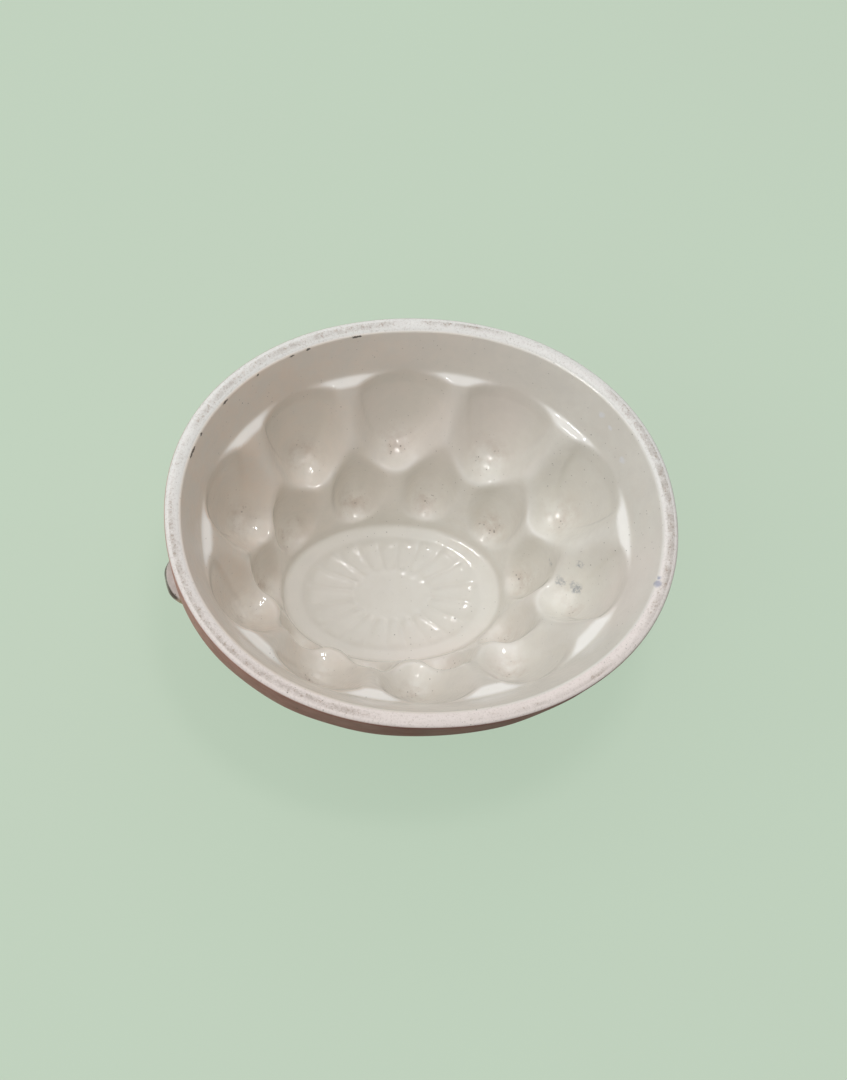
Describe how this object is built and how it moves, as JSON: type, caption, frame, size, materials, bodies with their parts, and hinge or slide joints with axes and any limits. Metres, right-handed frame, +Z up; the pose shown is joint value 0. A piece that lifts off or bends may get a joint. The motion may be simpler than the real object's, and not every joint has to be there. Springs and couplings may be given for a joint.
{
  "type": "blancmange mould",
  "caption": "Oval glazed earthenware blancmange mould: plain rim band over scalloped niches and pockets, gadrooned medallion in the floor, foot ring and small side lug.",
  "frame": {"origin": "middle of the foot's underside, on the surface that the mould stands on", "axes": "+Z up, out of the mouth; +X along the oval's long axis; the lug is near the -X end, 15 mm to -Y of it"},
  "size_m": [0.1899, 0.1598, 0.104],
  "materials": {
    "body_glaze": "gloss clear glaze, off-white inside and on the rim, pinkish buff outside",
    "foot_glaze": "gloss glaze, worn to the clay on its standing edge",
    "lug_glaze": "gloss glaze, brown where it pools"
  },
  "bodies": {
    "root": {"mould_body": "body_glaze", "foot_ring": "foot_glaze", "side_lug": "lug_glaze"}
  },
  "joints": []
}
